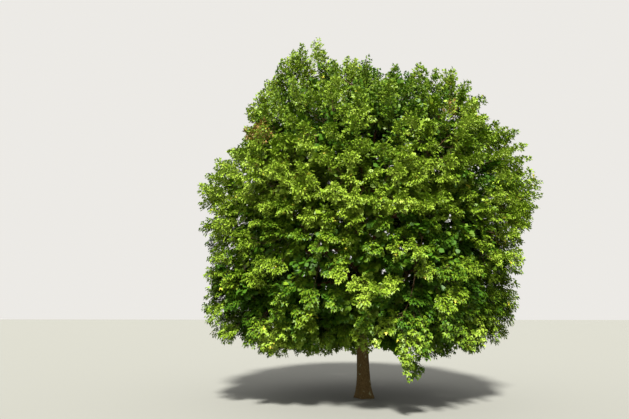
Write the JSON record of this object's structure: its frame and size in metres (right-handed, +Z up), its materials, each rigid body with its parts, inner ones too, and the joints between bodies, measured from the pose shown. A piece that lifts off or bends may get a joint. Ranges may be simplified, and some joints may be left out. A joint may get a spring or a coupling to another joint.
{
  "type": "maple tree",
  "caption": "Broad, round-crowned maple tree in full leaf on a short, slightly leaning trunk, cut flat at ground level and fixed in level ground.",
  "frame": {"origin": "middle of the flat cut under the trunk, at ground level", "axes": "+Z up; +X to the right and +Y away, as seen from the side that the picture shows"},
  "size_m": [6.9332, 6.5999, 7.6865],
  "materials": {
    "bark": "grey-brown furrowed bark, matt, redder on the upper limbs",
    "foliage": "green lobed leaves, satin, yellower on the young sprays and bronze on a few"
  },
  "bodies": {
    "root": {"trunk": "bark", "bough_01": "bark", "bough_02": "bark", "bough_03": "bark", "bough_04": "bark", "bough_05": "bark", "bough_06": "bark", "bough_07": "bark", "bough_08": "bark", "bough_09": "bark", "bough_10": "bark", "bough_11": "bark", "bough_12": "bark", "bough_13": "bark", "bough_14": "bark", "bough_15": "bark", "bough_16": "bark", "bough_17": "bark", "bough_18": "bark", "bough_19": "bark", "bough_20": "bark", "bough_21": "bark", "bough_22": "bark", "bough_23": "bark", "bough_24": "bark", "bough_25": "bark", "bough_26": "bark", "bough_27": "bark", "bough_28": "bark", "bough_29": "bark", "foliage_00": "foliage", "foliage_01": "foliage", "foliage_02": "foliage", "foliage_03": "foliage", "foliage_04": "foliage", "foliage_05": "foliage", "foliage_06": "foliage", "foliage_07": "foliage", "foliage_08": "foliage", "foliage_09": "foliage", "foliage_10": "foliage", "foliage_11": "foliage", "foliage_12": "foliage", "foliage_13": "foliage", "foliage_14": "foliage", "foliage_15": "foliage", "foliage_16": "foliage", "foliage_17": "foliage", "foliage_18": "foliage", "foliage_19": "foliage", "foliage_20": "foliage", "foliage_21": "foliage", "foliage_22": "foliage", "foliage_23": "foliage", "foliage_24": "foliage", "foliage_25": "foliage", "foliage_26": "foliage", "foliage_27": "foliage", "foliage_28": "foliage", "foliage_29": "foliage"}
  },
  "joints": []
}
